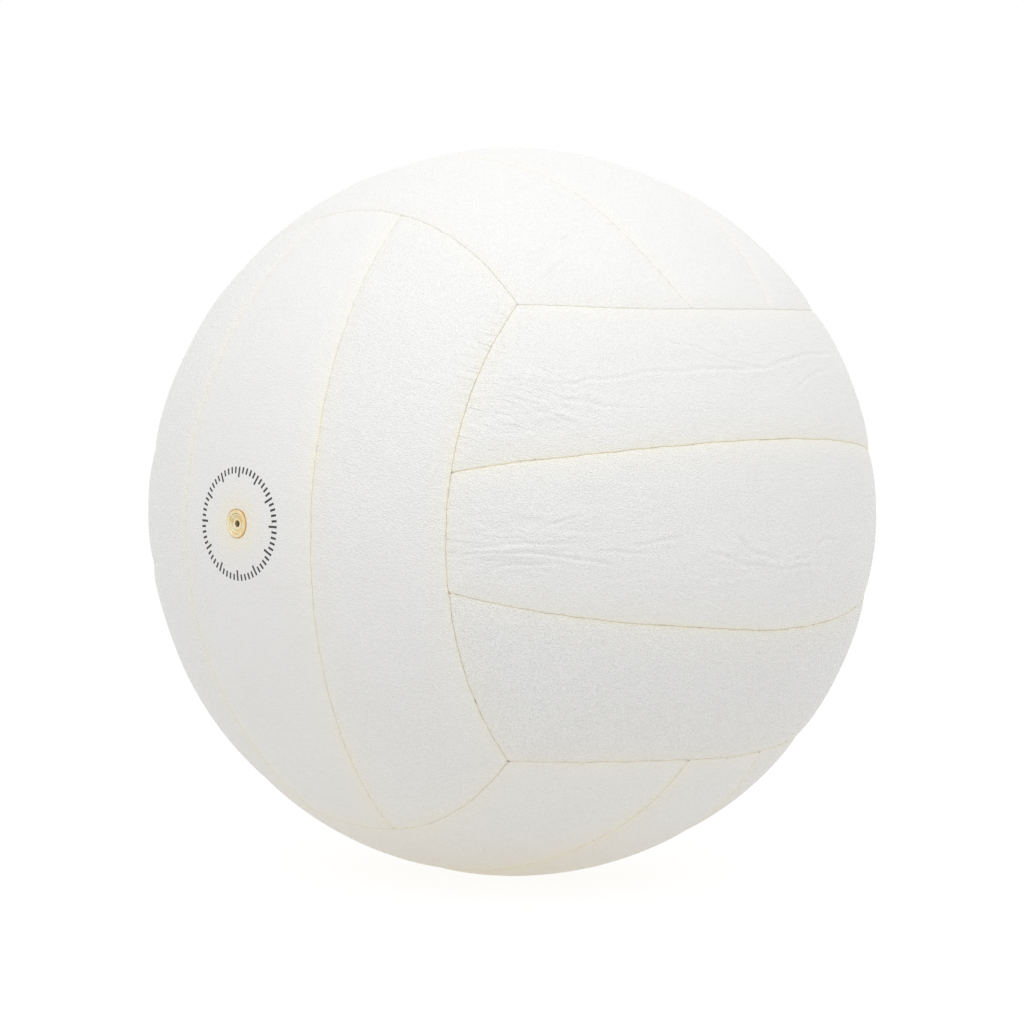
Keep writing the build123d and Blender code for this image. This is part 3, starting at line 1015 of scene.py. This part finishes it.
def leather_bump(nodes, grain, pores, pebble):
    """Fine grain, wrinkles where a strip is creased and short slanted gathers beside the seams."""
    along = nodes.attribute("along_wrinkles")
    across = nodes.attribute("across_wrinkles")
    wrinkles = stretched_noise(nodes, along, across, *WRINKLE_SCALES)
    wrinkles = nodes.maths("MULTIPLY", wrinkles, nodes.attribute("creasing"))
    slanted = nodes.maths("MULTIPLY_ADD", across, GATHERED_SLANT, along)
    gathers = stretched_noise(nodes, slanted, across, *GATHERED_SCALES)
    beside = nodes.ramp(nodes.attribute("seam_distance"), *GATHERED_BAND, 1.0, 0.0)
    beside = nodes.maths("MULTIPLY", beside, nodes.attribute("gathering"))
    gathers = nodes.maths("MULTIPLY", gathers, beside)
    grain = nodes.maths("MULTIPLY", grain, nodes.attribute("graining"))
    height = nodes.maths("MULTIPLY", pores, PORE_DEPTH)
    layers = (
        (grain, GRAIN_DEPTH),
        (pebble, PEBBLE_DEPTH),
        (wrinkles, WRINKLE_DEPTH),
        (gathers, GATHERED_DEPTH),
    )
    for layer, depth in layers:
        height = nodes.maths("MULTIPLY_ADD", layer, depth, height)
    return nodes.add("ShaderNodeBump", {"Height": height, "Strength": 1.0, "Distance": 1.0}).outputs[0]


def stretched_noise(nodes, along, across, along_scale, across_scale):
    """Noise that is finer one way than the other, for wrinkles that run one way."""
    along = nodes.maths("MULTIPLY", along, along_scale)
    across = nodes.maths("MULTIPLY", across, across_scale)
    place = nodes.add("ShaderNodeCombineXYZ", {"X": along, "Y": across}).outputs[0]
    inputs = {"Vector": place, "Scale": 1.0, "Detail": 2.0, "Distortion": 0.4}
    return nodes.add("ShaderNodeTexNoise", inputs).outputs[0]


def dial_print(nodes, place, pores):
    """Share of ink in a plain ring of ticks round the valve axis, with slightly rough edges."""
    axes = nodes.add("ShaderNodeSeparateXYZ", {0: place}).outputs
    radius = axis_distance(nodes, place)
    turn = nodes.maths("DIVIDE", nodes.maths("ARCTAN2", axes["X"], axes["Z"]), 2 * math.pi)

    def tick(count, inner):
        away = nodes.maths("WRAP", nodes.maths("MULTIPLY", turn, float(count)), 0.5, -0.5)
        away = nodes.maths("ABSOLUTE", away)
        sideways = nodes.maths("MULTIPLY", nodes.maths("MULTIPLY", away, radius), 2 * math.pi / count)
        sideways = nodes.maths("MULTIPLY_ADD", pores, DIAL_SIDE_ROUGHNESS, sideways)
        line = nodes.ramp(sideways, DIAL_HALF_WIDTH, DIAL_HALF_WIDTH + DIAL_SIDE_BLUR, 1.0, 0.0)
        past_inner = nodes.ramp(radius, inner - DIAL_END_BLUR, inner, 0.0, 1.0)
        before_outer = nodes.ramp(radius, DIAL_OUTER_RADIUS, DIAL_OUTER_RADIUS + DIAL_END_BLUR, 1.0, 0.0)
        within = nodes.maths("MULTIPLY", past_inner, before_outer)
        return nodes.maths("MULTIPLY", line, within)

    short = tick(DIAL_TICKS, DIAL_TICK_INNER)
    return nodes.maths("MAXIMUM", short, tick(DIAL_TICKS // DIAL_LONG_EVERY, DIAL_LONG_INNER))


def axis_distance(nodes, place):
    """Distance of a place from the valve axis."""
    axes = nodes.add("ShaderNodeSeparateXYZ", {0: place}).outputs
    squares = [nodes.maths("MULTIPLY", axes[name], axes[name]) for name in ("X", "Z")]
    return nodes.maths("SQRT", nodes.maths("ADD", *squares))


def rubber_material():
    """Ivory to honey-coloured valve rubber; orange at the rim's outer edge, partly the rubber's own amber
    and partly painted shade of the gap round the rim; painted shade in the needle hole.
    """
    material, nodes = new_material("amber_rubber")
    place = nodes.add("ShaderNodeTexCoord").outputs["Object"]
    radius = axis_distance(nodes, place)
    cloud = nodes.noise(place, RUBBER_CLOUD_SCALE, 3.0)
    body = nodes.mix(nodes.ramp(cloud, *CLOUD_LEVELS, 0.0, 1.0), RUBBER_HONEY, RUBBER_IVORY)
    low, high = (NOSE_RADIUS - inset for inset in RIM_EDGE_INSET)
    # Orange edge with painted shade of the gap round the rim
    edged_with_gap_shade = nodes.mix(nodes.ramp(radius, low, high, 0.0, 1.0), body, RUBBER_RIM_AND_GAP_SHADE)
    # Painted shade in the needle hole
    hole_shade = nodes.ramp(radius, NEEDLE_HOLE_RADIUS, NEEDLE_HOLE_RADIUS + HOLE_EDGE_BLUR, 1.0, 0.0)
    height = nodes.maths("MULTIPLY", cloud, RUBBER_RELIEF)
    shader = nodes.add("ShaderNodeBsdfPrincipled", {
        "Base Color": nodes.mix(hole_shade, edged_with_gap_shade, RUBBER_HOLE_SHADE),
        "Roughness": nodes.ramp(cloud, *GRAIN_LEVELS, *RUBBER_ROUGHNESS),
        "Subsurface Weight": 0.3,
        "Subsurface Radius": (0.0008, 0.0005, 0.0002),
        "Subsurface Scale": 1.0,
        "Normal": nodes.add("ShaderNodeBump", {"Height": height, "Distance": 1.0}).outputs[0],
    })
    nodes.finish(shader)
    return material


def stripes(nodes, place, direction, pitch):
    """Wave from 0 to 1 along a direction."""
    inputs = {0: place, 1: direction}
    along = nodes.add("ShaderNodeVectorMath", inputs, operation="DOT_PRODUCT").outputs["Value"]
    wave = nodes.maths("SINE", nodes.maths("MULTIPLY", along, 2 * math.pi / pitch))
    return nodes.maths("MULTIPLY_ADD", wave, 0.5, 0.5)


def inner_material(name, look, pattern):
    """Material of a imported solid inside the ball, coloured and raised by its pattern."""
    dark, light, roughness, depth = look
    material, nodes = new_material(name)
    place = nodes.add("ShaderNodeTexCoord").outputs["Object"]
    level = pattern(nodes, place)
    height = nodes.maths("MULTIPLY", level, depth)
    shader = nodes.add("ShaderNodeBsdfPrincipled", {
        "Base Color": nodes.mix(level, dark, light),
        "Roughness": roughness,
        "Normal": nodes.add("ShaderNodeBump", {"Height": height, "Distance": 1.0}).outputs[0],
    })
    nodes.finish(shader)
    return material


def foam_cells(nodes, place):
    inputs = {"Vector": place, "Scale": FOAM_CELL_SCALE}
    cells = nodes.add("ShaderNodeTexVoronoi", inputs, feature="DISTANCE_TO_EDGE")
    return nodes.ramp(cells.outputs[0], 0.0, FOAM_CELL_EDGE, 1.0, 0.0)


def cloth_weave(nodes, place):
    warp = stripes(nodes, place, (1, 1, 1), CLOTH_PITCH)
    weft = stripes(nodes, place, (1, -1, 0), CLOTH_PITCH)
    return nodes.maths("MULTIPLY", warp, weft)


def thread_twist(nodes, place):
    twist = stripes(nodes, place, (1, 1, 1), THREAD_PITCH)
    return nodes.maths("MULTIPLY", twist, nodes.noise(place, THREAD_FUZZ_SCALE))


def rubber_clouds(nodes, place):
    return nodes.noise(place, BLADDER_CLOUD_SCALE, 5.0)


def dress_nodes(nodes, rubber):
    """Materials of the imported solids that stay."""
    cloth = inner_material("cloth", CLOTH_LOOK, cloth_weave)
    thread = inner_material("thread", THREAD_LOOK, thread_twist)
    foam = inner_material("foam", FOAM_LOOK, foam_cells)
    black = inner_material("black_rubber", BLADDER_LOOK, rubber_clouds)
    by_start = {
        "foam": foam,
        "lining": cloth,
        "valve_patch": cloth,
        "group": thread,
        "strip": thread,
        "bladder": black,
        "valve": rubber,
    }
    for name, node in nodes.items():
        material = by_start.get(name) or by_start.get(name.split("_")[0])
        if material:
            node.data.materials.clear()
            node.data.materials.append(material)


def make_floor():
    """Table under the ball that glows and so lights the ball from below, warmer near the ball as painted
    bounce light: white to the camera, with the ball's shadow left on it.
    """
    mesh = bpy.data.meshes.new("floor")
    half = FLOOR_SIZE / 2
    corners = [(-half, -half, 0), (half, -half, 0), (half, half, 0), (-half, half, 0)]
    mesh.from_pydata(corners, [], [(0, 1, 2, 3)])
    floor = add_object("floor", mesh)
    floor.location.z = -BALL_RADIUS
    material, nodes = new_material("pale_floor")
    seen = seen_rays(nodes)
    level = nodes.maths("MULTIPLY_ADD", seen, FLOOR_WHITE, FLOOR_GLOW)
    place = nodes.add("ShaderNodeTexCoord").outputs["Object"]
    away = nodes.add("ShaderNodeVectorMath", {0: place}, operation="LENGTH").outputs["Value"]
    unseen = nodes.maths("SUBTRACT", 1.0, seen)
    # Painted warm bounce light: the glow turns warm near the ball for all rays but the camera's, gloss and
    # glass
    warm_bounce_glow = nodes.maths("MULTIPLY", nodes.ramp(away, 0.0, FLOOR_BOUNCE_REACH, 1.0, 0.0), unseen)
    colour = nodes.mix(warm_bounce_glow, (1, 1, 1, 1), FLOOR_BOUNCE_COLOUR)
    glow = nodes.add("ShaderNodeEmission", {"Color": colour, "Strength": level})
    diffuse = nodes.add("ShaderNodeBsdfDiffuse", {"Color": FLOOR_COLOUR})
    nodes.finish(nodes.add("ShaderNodeAddShader", {0: diffuse.outputs[0], 1: glow.outputs[0]}))
    mesh.materials.append(material)


def make_world():
    """Even surroundings, white where they are seen."""
    world = bpy.data.worlds.new("studio")
    world.use_nodes = True
    bpy.context.scene.world = world
    nodes = Nodes(world.node_tree)
    level = nodes.maths("MULTIPLY_ADD", seen_rays(nodes), 1 - WORLD_LEVEL, WORLD_LEVEL)
    back = nodes.add("ShaderNodeBackground", {"Color": (1, 1, 1, 1), "Strength": level})
    nodes.add("ShaderNodeOutputWorld", {"Surface": back.outputs[0]})


def seen_rays(nodes):
    """1 for what the camera sees, directly or in gloss or glass."""
    ray = nodes.add("ShaderNodeLightPath").outputs
    passed_on = nodes.maths("MAXIMUM", ray["Is Glossy Ray"], ray["Is Transmission Ray"])
    return nodes.maths("MAXIMUM", ray["Is Camera Ray"], passed_on)


def make_softbox():
    """Large lamp above the camera, which adds SOFTBOX_SHARE to the level on a surface that faces it."""
    lamp = bpy.data.lights.new("softbox", "AREA")
    lamp.shape = "RECTANGLE"
    lamp.size = SOFTBOX_WIDTH
    lamp.size_y = SOFTBOX_DEPTH
    lamp.energy = SOFTBOX_SHARE * (math.pi * SOFTBOX_DISTANCE) ** 2
    softbox = add_object("softbox", lamp)
    direction = toward(CAMERA_AZIMUTH, SOFTBOX_ELEVATION)
    turn = direction.to_track_quat("Z", "Y").to_matrix().to_4x4()
    softbox.matrix_world = Matrix.Translation(direction * SOFTBOX_DISTANCE) @ turn


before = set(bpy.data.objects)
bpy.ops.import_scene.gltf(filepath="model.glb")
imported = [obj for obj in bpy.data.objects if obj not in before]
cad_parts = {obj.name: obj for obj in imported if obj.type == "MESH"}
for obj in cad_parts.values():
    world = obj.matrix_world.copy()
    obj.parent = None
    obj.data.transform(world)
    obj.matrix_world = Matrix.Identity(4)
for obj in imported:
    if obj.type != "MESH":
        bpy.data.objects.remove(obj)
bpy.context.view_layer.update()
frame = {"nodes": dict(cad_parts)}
make_camera()
make_floor()
make_world()
make_softbox()
leather = leather_material("white_leather")
printed_leather = leather_material("printed_leather", printed=True)
for strip in all_strips():
    panel_piece(strip).data.materials.append(printed_leather if strip.has_valve else leather)
rubber = rubber_material()
seat_piece(rubber)
core_piece(rubber)
dress_nodes(frame["nodes"], rubber)
bpy.context.scene.view_settings.view_transform = "Standard"
